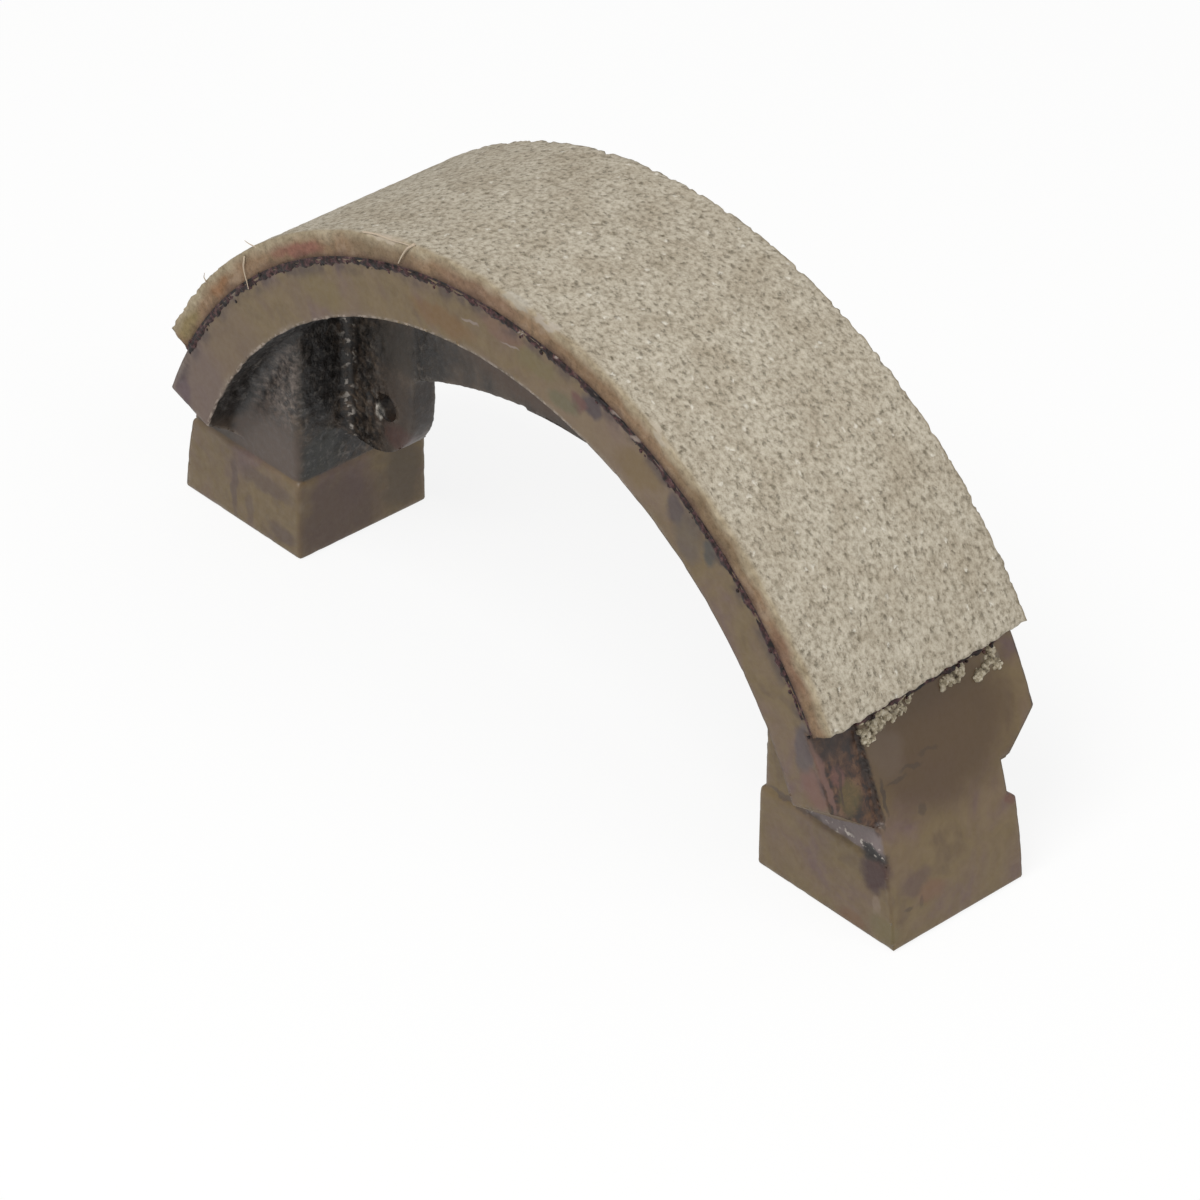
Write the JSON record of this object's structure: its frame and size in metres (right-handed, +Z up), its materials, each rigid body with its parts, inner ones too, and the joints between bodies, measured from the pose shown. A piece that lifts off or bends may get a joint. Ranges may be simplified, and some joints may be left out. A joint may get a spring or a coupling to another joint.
{
  "type": "brake shoe",
  "caption": "Curved cast brake shoe with a T section, a bonded friction lining and a flat machined foot at each end.",
  "frame": {"origin": "middle of the two foot faces, on the plane that they stand on", "axes": "+X from the left foot to the right foot, +Y along the drum's axis to the far side, +Z up to the crown of the lining"},
  "size_m": [0.1226, 0.0304, 0.0599],
  "materials": {
    "cast_metal": "cast and machined, with a dull olive-brown passivated skin, stained and slightly rusty",
    "bond_film": "cured dark brown adhesive, pitted, with small beads along its edge",
    "lining_compound": "moulded grey-beige friction compound, granular, ground on its rubbing face"
  },
  "bodies": {
    "root": {"shoe_casting": "cast_metal", "bond_layer": "bond_film", "friction_lining": "lining_compound"}
  },
  "joints": []
}
